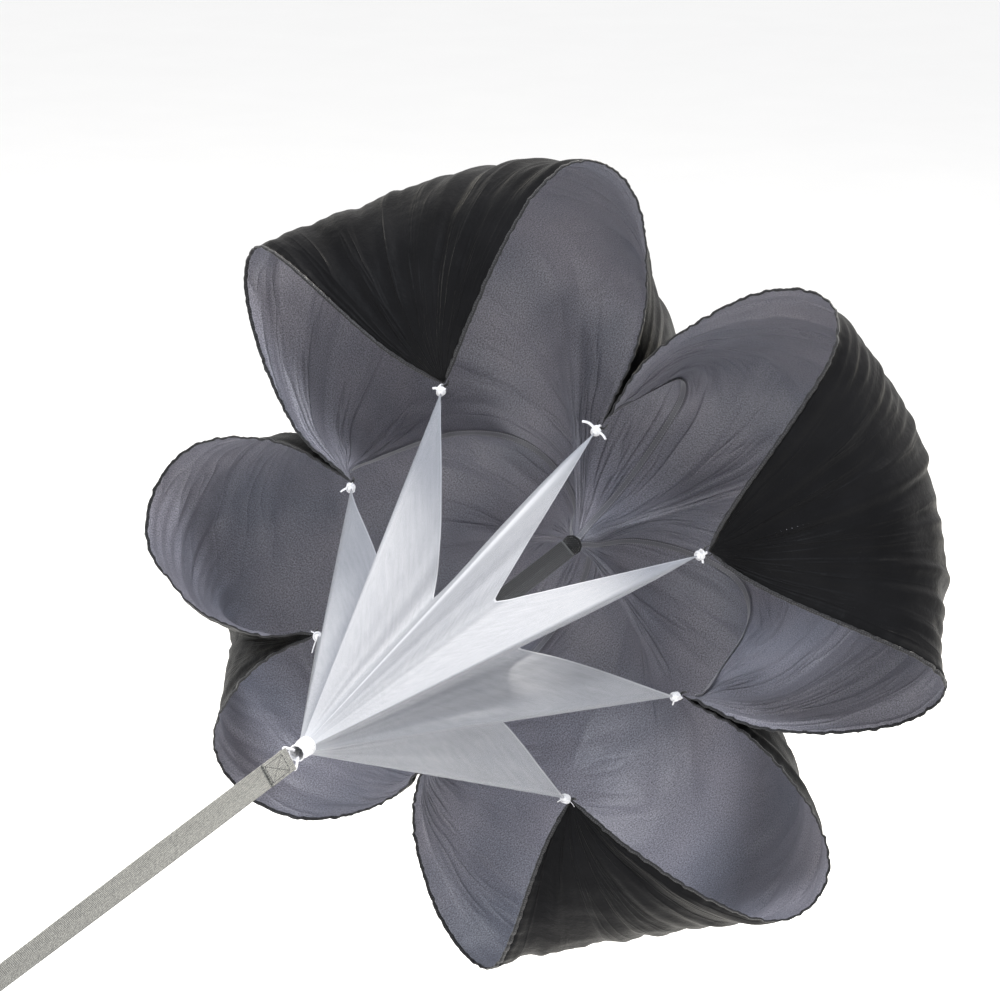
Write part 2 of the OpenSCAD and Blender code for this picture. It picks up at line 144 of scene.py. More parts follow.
def make_camera():
    data = bpy.data.cameras.new("camera")
    data.sensor_width = SENSOR
    data.lens = LENS
    data.clip_end = 100
    camera = put("camera", data)
    stand(camera, Vector(RING) + look(*CAMERA_ANGLES) * CAMERA_DISTANCE, -look(*VIEW_ANGLES))
    bpy.context.scene.camera = camera


make_camera()


# ---- Shader maths ----
class Value:
    """A shader value. Python's operators add Math nodes to its finish."""

    def __init__(self, finish, socket):
        self.finish = finish
        self.socket = socket

    def math(self, operation, a, b=0.0):
        return self.finish.node("Math", {"operation": operation}, {0: a, 1: b})

    def __add__(self, other):
        return self.math("ADD", self, other)

    def __sub__(self, other):
        return self.math("SUBTRACT", self, other)

    def __rsub__(self, other):
        return self.math("SUBTRACT", other, self)

    def __mul__(self, other):
        return self.math("MULTIPLY", self, other)

    def waves(self, pitch):
        """A sine wave along this value, one turn in every pitch."""
        return self.math("SINE", self * (math.tau / pitch))

    def size(self):
        return self.math("ABSOLUTE", self)


class Finish:
    """One material: a Principled shader and the nodes that feed it."""

    def __init__(self, name, **constants):
        self.material = bpy.data.materials.new(name)
        self.material.use_nodes = True
        self.nodes = self.material.node_tree.nodes
        self.nodes.clear()
        self.shader = self.nodes.new("ShaderNodeBsdfPrincipled")
        output = self.nodes.new("ShaderNodeOutputMaterial")
        self.material.node_tree.links.new(self.shader.outputs[0], output.inputs[0])
        self.ends(**constants)

    def feed(self, socket, value):
        if isinstance(value, Value):
            self.material.node_tree.links.new(value.socket, socket)
        elif isinstance(value, tuple) and len(value) == 3 and socket.type == "RGBA":
            socket.default_value = (*value, 1.0)
        else:
            socket.default_value = value

    def node(self, kind, settings=None, sockets=None, output=0):
        made = self.nodes.new("ShaderNode" + kind)
        for key, value in (settings or {}).items():
            setattr(made, key, value)
        for key, value in (sockets or {}).items():
            self.feed(made.inputs[key], value)
        return Value(self, made.outputs[output])

    def place(self):
        return self.node("TexCoord", output="Object")

    def stored(self, name):
        return self.node("Attribute", {"attribute_name": name}, output="Vector")

    def cut(self):
        """Where a point was on the flat cloth, in metres."""
        return self.stored("cut")

    def creases(self, name, count, start, end):
        """Sharp lines that run out from one held point of the cloth, 0 to 1."""
        polar = self.stored(name)
        _, reach, _ = self.parts(polar)
        wave = self.noise(self.stretch(polar, (count, 2.2, 1.0)), 1.0, 3.0, 0.6)
        line = self.step((wave - 0.5).size(), 0.075, 0.0)
        return line * line * self.step(reach, start, start + 0.05) * self.step(reach, end, 0.1)

    def parts(self, vector):
        split = self.node("SeparateXYZ", sockets={0: vector})
        outputs = split.socket.node.outputs
        return [Value(self, outputs[i]) for i in range(3)]

    def noise(self, where, scale, detail=2.0, roughness=0.5):
        return self.node("TexNoise", sockets={
            "Vector": where, "Scale": scale, "Detail": detail, "Roughness": roughness})

    def stretch(self, where, scale):
        return self.node("VectorMath", {"operation": "MULTIPLY"}, {0: where, 1: scale})

    def tint(self, factor, a, b):
        return self.node("Mix", {"data_type": "RGBA"}, {0: factor, 6: a, 7: b}, output=2)

    def step(self, value, low, high):
        return self.node("MapRange", sockets={0: value, 1: low, 2: high})

    def bump(self, height, distance, strength=1.0, base=None):
        sockets = {"Height": height, "Distance": distance, "Strength": strength}
        if base is not None:
            sockets["Normal"] = base
        return self.node("Bump", sockets=sockets)

    def ends(self, **values):
        for socket, value in values.items():
            self.feed(self.shader.inputs[socket.replace("_", " ")], value)
        return self.material


def thread_grain(f, where, pitch):
    """Crossing threads of a plain weave, 0 to 1."""
    x, y, _ = f.parts(where)
    return x.waves(pitch) * y.waves(pitch) * 0.5 + 0.5


def inner_cloth():
    f = Finish("inner_cloth", Specular_IOR_Level=0.4, Sheen_Weight=0.12,
               Sheen_Roughness=0.35, Sheen_Tint=(0.8, 0.82, 0.95))
    cut = f.cut()
    weave = thread_grain(f, cut, 1.3 * MM)
    speck = f.noise(cut, 520.0, 2.0, 0.7)
    cloud = f.noise(cut, 5.0, 3.0)
    crumple = f.noise(f.stretch(cut, (1.0, 1.0, 0.0)), 34.0, 4.0, 0.55)
    shade = f.tint(f.step(cloud, 0.3, 0.7), (0.165, 0.172, 0.205), (0.25, 0.24, 0.27))
    grain = f.tint(f.step(speck, 0.3, 0.7), (0.35, 0.35, 0.37), (1.65, 1.65, 1.65))
    colour = f.node("Mix", {"data_type": "RGBA", "blend_type": "MULTIPLY"},
                    {0: 1.0, 6: shade, 7: grain}, output=2)
    rough = f.step(speck, 0.0, 1.0) * 0.16 + 0.33
    pulled = f.creases("from_left", 3.5, 0.0, 0.55) + f.creases("from_right", 3.5, 0.0, 0.55) \
        + f.creases("from_middle", 4.0, 0.01, 0.5)
    normal = f.bump(pulled, 3.5 * MM, 0.9)
    normal = f.bump(crumple, 3.0 * MM, 0.6, normal)
    normal = f.bump(weave * 0.6 + speck, 0.25 * MM, 0.5, normal)
    return f.ends(Base_Color=colour, Roughness=rough, Normal=normal)


def outer_cloth():
    f = Finish("outer_cloth", Specular_IOR_Level=0.05, Sheen_Weight=0.07,
               Sheen_Roughness=0.28, Sheen_Tint=(0.9, 0.87, 0.78))
    cut = f.cut()
    weave = thread_grain(f, cut, 1.3 * MM)
    speck = f.noise(cut, 480.0, 2.0, 0.7)
    cloud = f.noise(cut, 7.0, 3.0)
    crumple = f.noise(f.stretch(cut, (1.0, 1.0, 0.0)), 46.0, 4.0, 0.6)
    colour = f.tint(f.step(cloud, 0.3, 0.7), (0.0035, 0.0035, 0.004), (0.009, 0.009, 0.010))
    rough = speck * 0.16 + cloud * 0.1 + 0.34
    normal = f.bump(f.creases("from_corner", 5.0, 0.0, 0.5), 2.0 * MM, 0.7)
    normal = f.bump(crumple, 3.0 * MM, 0.6, normal)
    normal = f.bump(weave * 0.6 + speck, 0.25 * MM, 0.5, normal)
    return f.ends(Base_Color=colour, Roughness=rough, Normal=normal)


def hem_binding():
    f = Finish("hem_binding", Specular_IOR_Level=0.35, Sheen_Weight=0.1)
    cut = f.cut()
    along, across, _ = f.parts(cut)
    stitch = f.step(along.waves(3.2 * MM), 0.1, 0.4)
    lane = f.step(across.size(), 0.75 * MM, 0.45 * MM)
    sewn = stitch * lane
    lumps = f.noise(cut, 160.0, 3.0)
    colour = f.tint(sewn, f.tint(lumps, (0.004, 0.004, 0.005), (0.014, 0.014, 0.016)),
                    (0.05, 0.05, 0.055))
    normal = f.bump(lumps - sewn * 0.35, 1.4 * MM, 0.8)
    return f.ends(Base_Color=colour, Roughness=lumps * 0.3 + 0.35, Normal=normal)


def seam_binding():
    f = Finish("seam_binding", Specular_IOR_Level=0.5, Sheen_Weight=0.2)
    cut = f.cut()
    along, across, _ = f.parts(cut)
    stitch = f.step(along.waves(3.4 * MM), 0.0, 0.35)
    lane = f.step((across.size() - 2.9 * MM).size(), 0.55 * MM, 0.3 * MM)
    sewn = stitch * lane
    grain = f.noise(cut, 420.0, 2.0, 0.7)
    colour = f.tint(sewn, f.tint(grain, (0.09, 0.09, 0.105), (0.20, 0.20, 0.22)),
                    (0.36, 0.36, 0.38))
    normal = f.bump(grain * 0.5 - sewn, 0.6 * MM, 0.7)
    return f.ends(Base_Color=colour, Roughness=grain * 0.2 + 0.35, Normal=normal)


def webbing(name, light, dark, speckle):
    f = Finish(name, Specular_IOR_Level=0.3, Sheen_Weight=0.3, Sheen_Roughness=0.5)
    cut = f.cut()
    along, across, _ = f.parts(cut)
    rib = (along + across.size() * 0.9).waves(2.6 * MM) * 0.5 + 0.5
    cord = across.waves(2.1 * MM) * 0.5 + 0.5
    fleck = f.noise(cut, 620.0, 2.0, 0.8)
    soil = f.noise(cut, 22.0, 3.0)
    mask = f.step(fleck + rib * 0.22 + soil * 0.1, 0.55 - speckle, 0.78)
    colour = f.tint(mask, light, dark)
    normal = f.bump(rib * cord + fleck * 0.5, 0.7 * MM, 0.9)
    return f.ends(Base_Color=colour, Roughness=fleck * 0.25 + 0.6, Normal=normal)


def net_mesh():
    f = Finish("net_mesh", Specular_IOR_Level=0.3, Sheen_Weight=0.1, Sheen_Roughness=0.4,
               Sheen_Tint=(1.0, 1.0, 1.0))
    cut = f.cut()
    along, across, edge = f.parts(cut)
    pitch = 1.5 * MM
    holes = f.step(along.waves(pitch) * across.waves(pitch), 0.1, 0.75)
    mist = f.noise(cut, 60.0, 3.0)
    speck = f.noise(cut, 500.0, 1.0)
    alpha = f.node("Math", {"operation": "MAXIMUM"}, {
        0: 0.46 - holes * 0.22 + mist * 0.16 + speck * 0.14, 1: edge})
    colour = f.tint(mist, (0.32, 0.335, 0.375), (0.41, 0.42, 0.45))
    normal = f.bump(speck - holes * 0.5, 0.3 * MM, 0.5)
    return f.ends(Base_Color=colour, Alpha=alpha, Roughness=mist * 0.2 + 0.4, Normal=normal)


def white_tape():
    f = Finish("white_tape", Specular_IOR_Level=0.35, Sheen_Weight=0.3)
    cut = f.cut()
    along, across, _ = f.parts(cut)
    rib = along.waves(1.1 * MM) * 0.5 + 0.5
    soil = f.noise(cut, 120.0, 3.0)
    fibre = f.noise(f.stretch(cut, (1.0, 5.0, 1.0)), 700.0, 2.0, 0.7)
    colour = f.tint(f.step(soil, 0.35, 0.75), (0.86, 0.86, 0.88), (0.60, 0.60, 0.63))
    normal = f.bump(rib * 0.6 + fibre, 0.35 * MM, 0.8)
    return f.ends(Base_Color=colour, Roughness=soil * 0.2 + 0.5, Normal=normal)


def sewing_thread(name, colour_a, colour_b):
    f = Finish(name, Specular_IOR_Level=0.4, Sheen_Weight=0.2)
    where = f.place()
    fibre = f.noise(f.stretch(where, (1.0, 0.3, 1.0)), 2600.0, 2.0)
    colour = f.tint(fibre, colour_a, colour_b)
    return f.ends(Base_Color=colour, Roughness=fibre * 0.3 + 0.4,
                  Normal=f.bump(fibre, 0.15 * MM, 0.7))


def worn_metal(name, bright, dull, rough, streak):
    f = Finish(name, Metallic=1.0)
    where = f.place()
    brushed = f.noise(f.stretch(where, streak), 900.0, 3.0, 0.6)
    wear = f.step(f.noise(where, 160.0, 4.0, 0.65), 0.42, 0.66)
    scratch = f.step(f.noise(f.stretch(where, (1.0, 9.0, 1.0)), 420.0, 2.0), 0.62, 0.70)
    colour = f.tint(wear, bright, dull)
    colour = f.tint(scratch * 0.6, colour, (0.85, 0.85, 0.87))
    normal = f.bump(brushed * 0.5 - scratch, 0.05 * MM, 0.6)
    return f.ends(Base_Color=colour, Roughness=brushed * 0.16 + wear * 0.12 + rough,
                  Normal=normal)


INNER = inner_cloth()
OUTER = outer_cloth()
HEM = hem_binding()
SEAM = seam_binding()
GREY_WEBBING = webbing("grey_webbing", (0.25, 0.25, 0.225), (0.05, 0.05, 0.047), 0.16)
BLACK_WEBBING = webbing("black_webbing", (0.012, 0.012, 0.013), (0.003, 0.003, 0.003), 0.05)
NET = net_mesh()
WHITE_TAPE = white_tape()
DARK_THREAD = sewing_thread("dark_thread", (0.02, 0.02, 0.022), (0.07, 0.07, 0.075))
GREY_THREAD = sewing_thread("grey_thread", (0.20, 0.20, 0.21), (0.40, 0.40, 0.42))
HOOK_METAL = worn_metal("hook_metal", (0.17, 0.17, 0.18), (0.09, 0.09, 0.10), 0.26, (1, 6, 1))
GATE_METAL = worn_metal("gate_metal", (0.52, 0.52, 0.54), (0.30, 0.30, 0.32), 0.20, (1, 8, 1))
PLATED = worn_metal("plated_metal", (0.70, 0.70, 0.71), (0.44, 0.44, 0.45), 0.16, (4, 1, 4))


# ---- Meshes ----
def piece(name, points, faces, materials, body="chute", slot=None, cut=None, picks=None,
          pulls=None):
    mesh = bpy.data.meshes.new(name)
    mesh.from_pydata(np.asarray(points).tolist(), [], faces)
    mesh.update()
    for material in materials:
        mesh.materials.append(material)
    mesh.polygons.foreach_set("use_smooth", [True] * len(faces))
    if picks is not None:
        mesh.polygons.foreach_set("material_index", picks)
    if cut is None:
        cut = points
    for key, values in {"cut": cut, **(pulls or {})}.items():
        attribute = mesh.attributes.new(key, "FLOAT_VECTOR", "POINT")
        attribute.data.foreach_set("vector", np.asarray(values, np.float32).ravel())
    made = put(name, mesh)
    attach(made, body)
    return made


def grid_faces(rows, columns, closed=False, start=0):
    wide = columns if closed else columns - 1
    return [(start + i * columns + j, start + (i + 1) * columns + j,
             start + (i + 1) * columns + (j + 1) % columns, start + i * columns + (j + 1) % columns)
            for i in range(rows - 1) for j in range(wide)]


def ring_faces(first, last, sides):
    """Faces between two rings, given the number of each ring's first point."""
    return [(first + j, last + j, last + (j + 1) % sides, first + (j + 1) % sides)
            for j in range(sides)]


def end_caps(first, last, sides):
    """The end faces of a tube, given the number of each end ring's first point."""
    return [tuple(range(first, first + sides)), tuple(range(last + sides - 1, last - 1, -1))]


def reach_along(line):
    """The distance to each point, along a line of points."""
    return np.concatenate([[0], np.cumsum(np.linalg.norm(np.diff(line, axis=0), axis=1))])


def ring_points(r, y, a):
    """Points at distance r and angle a round the tow line, y along it."""
    return np.stack(np.broadcast_arrays(r * np.cos(a), y, r * np.sin(a)), axis=-1)


class Stock:
    """Gathers the tubes and bands of one piece into one mesh."""

    def __init__(self):
        self.points = []
        self.faces = []
        self.cut = []
        self.count = 0

    def bar(self, line, side, width, thick, sides=12, soft=0.5, closed=False):
        """A bar along line. side is the direction of its width, width and thick its section."""
        line = np.asarray(line, float)
        ahead = np.gradient(line, axis=0)
        if closed:
            ahead = np.roll(line, -1, axis=0) - np.roll(line, 1, axis=0)
        ahead = unit(ahead)
        side = np.broadcast_to(side, line.shape)
        side = unit(side - (side * ahead).sum(1, keepdims=True) * ahead)
        face = np.cross(ahead, side)
        width = np.broadcast_to(width, (len(line),))
        thick = np.broadcast_to(thick, (len(line),))
        a = np.arange(sides) * math.tau / sides + math.pi / sides
        x = np.sign(np.cos(a)) * np.abs(np.cos(a)) ** soft
        y = np.sign(np.sin(a)) * np.abs(np.sin(a)) ** soft
        rings = (line[:, None] + side[:, None] * (x[None, :] * width[:, None] / 2)[..., None]
                 + face[:, None] * (y[None, :] * thick[:, None] / 2)[..., None])
        reach = reach_along(line)
        across = x[None, :] * width[:, None] / 2
        cut = np.stack([np.broadcast_to(reach[:, None], across.shape), across,
                        np.broadcast_to(y[None, :], across.shape) * 0.001], axis=-1)
        rows = len(line)
        start = self.count
        self.faces += grid_faces(rows, sides, True, start)
        last = start + (rows - 1) * sides
        if closed:
            self.faces += ring_faces(last, start, sides)
        else:
            self.faces += end_caps(start, last, sides)
        self.points.append(rings.reshape(-1, 3))
        self.cut.append(cut.reshape(-1, 3))
        self.count += rows * sides

    def made(self, name, material, **facts):
        return piece(name, np.concatenate(self.points), self.faces, [material],
                     cut=np.concatenate(self.cut), **facts)


def arc(centre, a, b, radius, start, end, steps):
    """Points of an arc round centre, in the plane of the unit vectors a and b."""
    t = np.linspace(math.radians(start), math.radians(end), steps)
    return (np.asarray(centre) + radius * (np.cos(t)[:, None] * np.asarray(a)
                                           + np.sin(t)[:, None] * np.asarray(b)))


def turned(angle):
    """The width and face directions of webbing turned by angle about the tow line."""
    wide = np.stack([np.sin(angle), np.zeros_like(angle), np.cos(angle)], axis=-1)
    face = np.stack([np.cos(angle), np.zeros_like(angle), -np.sin(angle)], axis=-1)
    return wide, face


# ---- Tow strap ----
def strap_angle(y):
    start, end = BAR_Y + 65 * MM, LOOP_Y - 66 * MM
    return STRAP_TWIST * smooth(start, end, y)


def make_strap():
    """One length of webbing: lap, turn round the bar, run, turn through the loop, lap."""
    t = STRAP_THICK
    zero, last = np.array(0.0), np.array(STRAP_TWIST)
    run_start, run_end = BAR_Y + 6.7 * MM, LOOP_Y - 7.9 * MM
    ease = np.linspace(0, 1, 14)
    line, sides = [], []

    def add(points, wide):
        line.append(points)
        sides.append(np.broadcast_to(wide, points.shape))

    wide, face = turned(zero)
    lap = np.linspace(run_start + STRAP_LAP, run_start, 16)
    add(lap[:, None] * TOW_AXIS + face * (t * 1.04), wide)
    radius = BAR_RADIUS + t / 2
    add(arc((0, BAR_Y, 0), face, TOW_AXIS, radius, 0, -180, 22), wide)
    y = BAR_Y + (run_start + 6 * MM - BAR_Y) * ease[1:]
    add(y[:, None] * TOW_AXIS - face * (radius * (1 - smooth(0, 1, ease[1:])))[:, None], wide)
    y = np.linspace(run_start + 9 * MM, run_end - 9 * MM, 130)
    wide_run, _ = turned(strap_angle(y))
    add(y[:, None] * TOW_AXIS, wide_run)
    wide, face = turned(last)
    radius = CORD_RADIUS + t / 2
    y = run_end - 6 * MM + (LOOP_Y - run_end + 6 * MM) * ease[:-1]
    add(y[:, None] * TOW_AXIS - face * (radius * smooth(0, 1, ease[:-1]))[:, None], wide)
    add(arc((0, LOOP_Y, 0), face, TOW_AXIS, radius, 180, 0, 22), wide)
    lap = np.linspace(run_end, run_end - STRAP_LAP, 16)
    add(lap[:, None] * TOW_AXIS + face * (t * 1.04), wide)

    stock = Stock()
    stock.bar(np.concatenate(line), np.concatenate(sides), STRAP_WIDTH, t, 20, 0.35)
    strap = stock.made("tow_webbing", GREY_WEBBING, slot="grey_webbing")
    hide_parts("tow_strap", "strap_eye_turn", "strap_net_turn")
    return run_start, run_end


def make_lap_stitching(name, node, start, angle, sign):
    """A box of thread with a cross, through the lap at one end of the strap."""
    wide, face = turned(np.array(angle))
    half, inset, dash, gap = STRAP_WIDTH / 2 - 3 * MM, 3 * MM, 2.3 * MM, 0.9 * MM
    stock = Stock()
    corners = [(-half, inset), (half, inset), (half, STRAP_LAP - inset),
               (-half, STRAP_LAP - inset)]
    seams = [(corners[i], corners[(i + 1) % 4]) for i in range(4)]
    seams += [(corners[0], corners[2]), (corners[1], corners[3])]
    for height in (1.62 * STRAP_THICK, -0.62 * STRAP_THICK):
        for a, b in seams:
            a, b = np.array(a), np.array(b)
            count = int(np.linalg.norm(b - a) / (dash + gap))
            for i in range(count):
                t0, t1 = (i + 0.14) / count, (i + 0.86) / count
                p, q = a + (b - a) * t0, a + (b - a) * t1
                line = [wide * (p + (q - p) * s)[0]
                        + np.array([0, start + sign * (p + (q - p) * s)[1], 0])
                        + face * (height + math.copysign(0.22 * MM * math.sin(math.pi * s), height))
                        for s in np.linspace(0, 1, 5)]
                stock.bar(line, wide + np.array([0.3, 0.2, 0.1]), 0.7 * MM, 0.5 * MM, 6, 1.0)
    made = stock.made(name, DARK_THREAD, slot="thread")
    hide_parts(node)


run_start, run_end = make_strap()
make_lap_stitching("eye_lap_stitches", "eye_end_stitching", run_start, 0.0, 1)
make_lap_stitching("net_lap_stitches", "net_end_stitching", run_end, STRAP_TWIST, -1)


# ---- Canopy cloth, blown open from the flat square ----
def flat_square(n):
    u = np.linspace(-SEWN_SIDE / 2, SEWN_SIDE / 2, n)
    x, y = np.meshgrid(u, u, indexing="ij")
    return np.stack([x.ravel(), y.ravel(), np.zeros(n * n)], axis=1)


def held_points(n):
    """Places in the grid of the eight ties, in their order, and of the centre."""
    c, m = n // 2, n - 1
    spots = [(m, m), (c, m), (0, m), (0, c), (0, 0), (c, 0), (m, 0), (m, c), (c, c)]
    return [i * n + j for i, j in spots]


def threads(n):
    """Pairs of points joined by the cloth, in sets that share no point."""
    grid = np.arange(n * n).reshape(n, n)
    straight, slant, double = [], [], []
    for k in (0, 1):
        straight.append((grid[k:-1:2, :], grid[k + 1::2, :]))
        straight.append((grid[:, k:-1:2], grid[:, k + 1::2]))
        slant.append((grid[k:-1:2, :-1], grid[k + 1::2, 1:]))
        slant.append((grid[k:-1:2, 1:], grid[k + 1::2, :-1]))
    for k in range(4):
        for a, b in ((grid[k:-2:4, :], grid[k + 2::4, :]),
                     (grid[:, k:-2:4].T, grid[:, k + 2::4].T)):
            shared = min(len(a), len(b))
            double.append((a[:shared], b[:shared]))
    return [[(a.ravel(), b.ravel()) for a, b in group] for group in (straight, slant, double)]


def first_shape(n):
    """A rough open bowl with eight lobes, for the simulation to start from."""
    cloth = flat_square(n)
    x, y = cloth[:, 0], cloth[:, 1]
    tie_radius = np.linalg.norm(to_canopy(TIES)[:, :2], axis=1).mean()
    depth = CENTRE[1] - RING[1]
    share = np.maximum(np.abs(x), np.abs(y)) / (SEWN_SIDE / 2)
    angle = np.arctan2(y, x) - math.pi / 4
    lobe = np.abs(np.sin(4 * angle)) ** 0.8
    brim_at, brim_radius, tip_radius = 0.62, 0.47, 0.50
    hem_radius = tie_radius + (tip_radius - tie_radius) * lobe
    swell = 0.12
    brim_depth = -0.10 - swell * np.cos(2 * angle) ** 2
    inside = np.clip(share / brim_at, 0, 1)
    outside = np.clip((share - brim_at) / (1 - brim_at), 0, 1)
    radius = np.where(share < brim_at, brim_radius * inside,
                      brim_radius + (hem_radius - brim_radius) * outside)
    height = np.where(share < brim_at,
                      -depth + (brim_depth + depth) * inside ** 2
                      - 0.25 * swell * np.sin(math.pi * inside),
                      brim_depth - (0.07 * lobe + brim_depth) * outside)
    return np.stack([radius * np.cos(angle), radius * np.sin(angle), height], axis=1)


def doubled(points, n):
    grid = points.reshape(n, n, 3)
    wide = 2 * n - 1
    fine = np.zeros((wide, wide, 3))
    fine[::2, ::2] = grid
    fine[1::2, ::2] = (grid[1:] + grid[:-1]) / 2
    fine[:, 1::2] = (fine[:, 2::2] + fine[:, :-2:2]) / 2
    return fine.reshape(-1, 3), wide


def inward(grid):
    """Unit normals of a grid of points, on the side of the mouth."""
    return unit(np.cross(np.gradient(grid, axis=0), np.gradient(grid, axis=1)))


# How firmly the cloth by each corner tie keeps its width, in the order of the corners.
CORNER_FIRMNESS = (1.0, 1.0, 0.0, 0.6)


def corner_patch(middle_points):
    """1 on the doubled cloth by a firm corner, falling to 0 where the cloth is single."""
    firm = np.zeros(len(middle_points))
    for (sx, sy), share in zip(((1, 1), (-1, 1), (-1, -1), (1, -1)), CORNER_FIRMNESS):
        corner = np.array([sx, sy]) * SEWN_SIDE / 2
        gap = np.linalg.norm(middle_points[:, :2] - corner, axis=1)
        firm += share * smooth(0.45, 0.30, gap)
    return firm


def blow(points, n, steps, slack, bend, air):
    """Position-based cloth: air pushes it out, threads and the nine held points hold it."""
    flat = flat_square(n)
    held = held_points(n)
    held_at = np.vstack([to_canopy(TIES), to_canopy(CENTRE[None])])
    straight, slant, double = threads(n)

    def links(pairs, stretch, squeeze, firm):
        made = []
        for a, b in pairs:
            length = np.linalg.norm(flat[a] - flat[b], axis=1)
            patch = corner_patch((flat[a] + flat[b]) / 2)
            made.append((a, b, length, stretch, squeeze + (firm - squeeze) * patch))
        return made

    joined = links(straight, 1.0, slack, 0.9) + links(slant, 0.3, slack * 0.3, 0.45)
    stays = links(double, 0.0, bend, bend)
    leash = [np.linalg.norm(flat - flat[k], axis=1) * 1.005 for k in held]
    bearing = np.arctan2(flat[:, 1], flat[:, 0]) - math.pi / 4
    radius = np.linalg.norm(flat[:, :2], axis=1)
    walls = []
    for k in range(8):
        off = (bearing - k * math.pi / 4 + math.pi) % math.tau - math.pi
        reach = 9.0 if k % 2 else 0.45 * SEWN_SIDE
        on = (np.abs(off) < 1e-6) & (radius < reach)
        beside = (np.abs(off) < (math.pi / 4 if k % 2 else math.pi / 8) + 1e-6) & ~on
        beside &= radius < reach
        across = np.array([-math.sin(k * math.pi / 4), math.cos(k * math.pi / 4)])
        walls.append((across, np.where(beside)[0], np.sign(off[beside]), np.where(on)[0], k % 2))
    time_step, drag, wall_gap, top_speed = 0.03, 0.06, 2 * MM, 1.5
    speed = np.zeros_like(points)
    for _ in range(steps):
        push = -inward(points.reshape(n, n, 3)).reshape(-1, 3)
        speed = (speed + time_step * air * push) * (1 - drag)
        before = points
        points = points + time_step * speed
        points[held] = held_at
        for _ in range(6):
            for spot, length in zip(held_at, leash):
                away = points - spot
                far = np.linalg.norm(away, axis=1)
                over = far > length
                points[over] = spot + away[over] * (length[over] / far[over])[:, None]
            for a, b, length, stretch, squeeze in joined:
                gap = points[b] - points[a]
                size = np.sqrt((gap * gap).sum(1)) + 1e-12
                extra = size - length
                move = (0.5 * np.where(extra > 0, stretch, squeeze) * extra / size)[:, None] * gap
                points[a] += move
                points[b] -= move
            for a, b, length, _, hold in stays:
                gap = points[b] - points[a]
                size = np.sqrt((gap * gap).sum(1)) + 1e-12
                move = (0.5 * hold * np.minimum(size - length, 0) / size)[:, None] * gap
                points[a] += move
                points[b] -= move
            for across, beside, side, on, odd in walls:
                near = np.maximum(wall_gap - (points[beside, :2] @ across) * side, 0) * side
                points[beside, :2] += near[:, None] * across
                if odd:
                    points[on, :2] -= (points[on, :2] @ across)[:, None] * across
            points[held] = held_at
        speed = (points - before) / time_step
        pace = np.linalg.norm(speed, axis=1, keepdims=True)
        speed *= np.minimum(1, top_speed / np.maximum(pace, 1e-9))
    return points


def eased(grid, held):
    """The cloth with its smallest crumples pressed out, and its held points kept."""
    kept = grid.reshape(-1, 3)[held]
    for _ in range(5):
        for axis in (0, 1):
            side = grid if axis == 0 else grid.transpose(1, 0, 2)
            side = side.copy()
            side[1:-1] += 0.25 * (side[2:] + side[:-2] - 2 * side[1:-1])
            grid = side if axis == 0 else side.transpose(1, 0, 2)
        grid = grid.reshape(-1, 3).copy()
        grid[held] = kept
        grid = grid.reshape(*side.shape)
    return grid


def blown_canopy():
    """The canopy's cloth as a square grid of points, in canopy coordinates."""
    # Each level: points along a side, steps, hold against squeezing and folding, and air.
    coarse, finest = 21, 81
    levels = [(coarse, 250, 0.15, 0.05, 2.0)]
    levels += [(41, 200, 0.20, 0.05, 1.5), (finest, 150, 0.40, 0.04, 0.8)]
    rng = np.random.default_rng(3)
    points, n = first_shape(coarse), coarse
    for size, steps, slack, bend, air in levels:
        if size > n:
            points, n = doubled(points, n)
        points = points + rng.normal(size=points.shape) * 0.01 * SEWN_SIDE / (n - 1)
        points = blow(points, n, steps, slack, bend, air)
    while n < finest:
        points, n = doubled(points, n)
    return eased(points.reshape(n, n, 3), held_points(n))


def finer(grid):
    """Twice as many points, on a smooth curve through the old ones, along both ways."""
    for _ in range(2):
        ends = np.concatenate([2 * grid[:1] - grid[1:2], grid, 2 * grid[-1:] - grid[-2:-1]])
        between = (9 * (ends[1:-2] + ends[2:-1]) - ends[:-3] - ends[3:]) / 16
        made = np.zeros((2 * len(grid) - 1, *grid.shape[1:]))
        made[::2] = grid
        made[1::2] = between
        grid = made.transpose(1, 0, 2)
    return grid


def quarter(grid, p):
    """The quarter of the square with corner p, from the centre outwards."""
    c = len(grid) // 2
    ways = [(1, 0), (0, 1), (-1, 0), (0, -1)]
    (ax, ay), (bx, by) = ways[p], ways[(p + 1) % 4]
    a, b = np.meshgrid(np.arange(c + 1), np.arange(c + 1), indexing="ij")
    return grid[c + a * ax + b * bx, c + a * ay + b * by]


# ---- Folds ----
def ridge(across, width):
    return np.exp(-np.abs(across / width) ** 1.3)


def band(height, x, a, b, c, d):
    """height where x is from b to c, fading out towards a and d."""
    return height * smooth(a, b, x) * (1 - smooth(c, d, x))


def polar(a, b, at):
    """Bearing in degrees and distance, from a point of the flat cloth."""
    return np.degrees(np.arctan2(b - at[1], a - at[0])), np.hypot(a - at[0], b - at[1])


def rays(a, b, at, angles, width, height, start, end):
    """Folds that run out from a point of the cloth at these angles, in degrees."""
    bearing, reach = polar(a, b, at)
    made = np.zeros_like(a)
    for i, angle in enumerate(angles):
        off = np.radians((bearing - angle + 180) % 360 - 180)
        spread = width * (0.5 + reach / 0.3)
        fold = height * (1 if i % 2 else -0.8) * ridge(np.sin(off) * reach, spread)
        made += band(fold * (np.cos(off) > 0), reach, start, start + 0.06, end - 0.12, end)
    return made


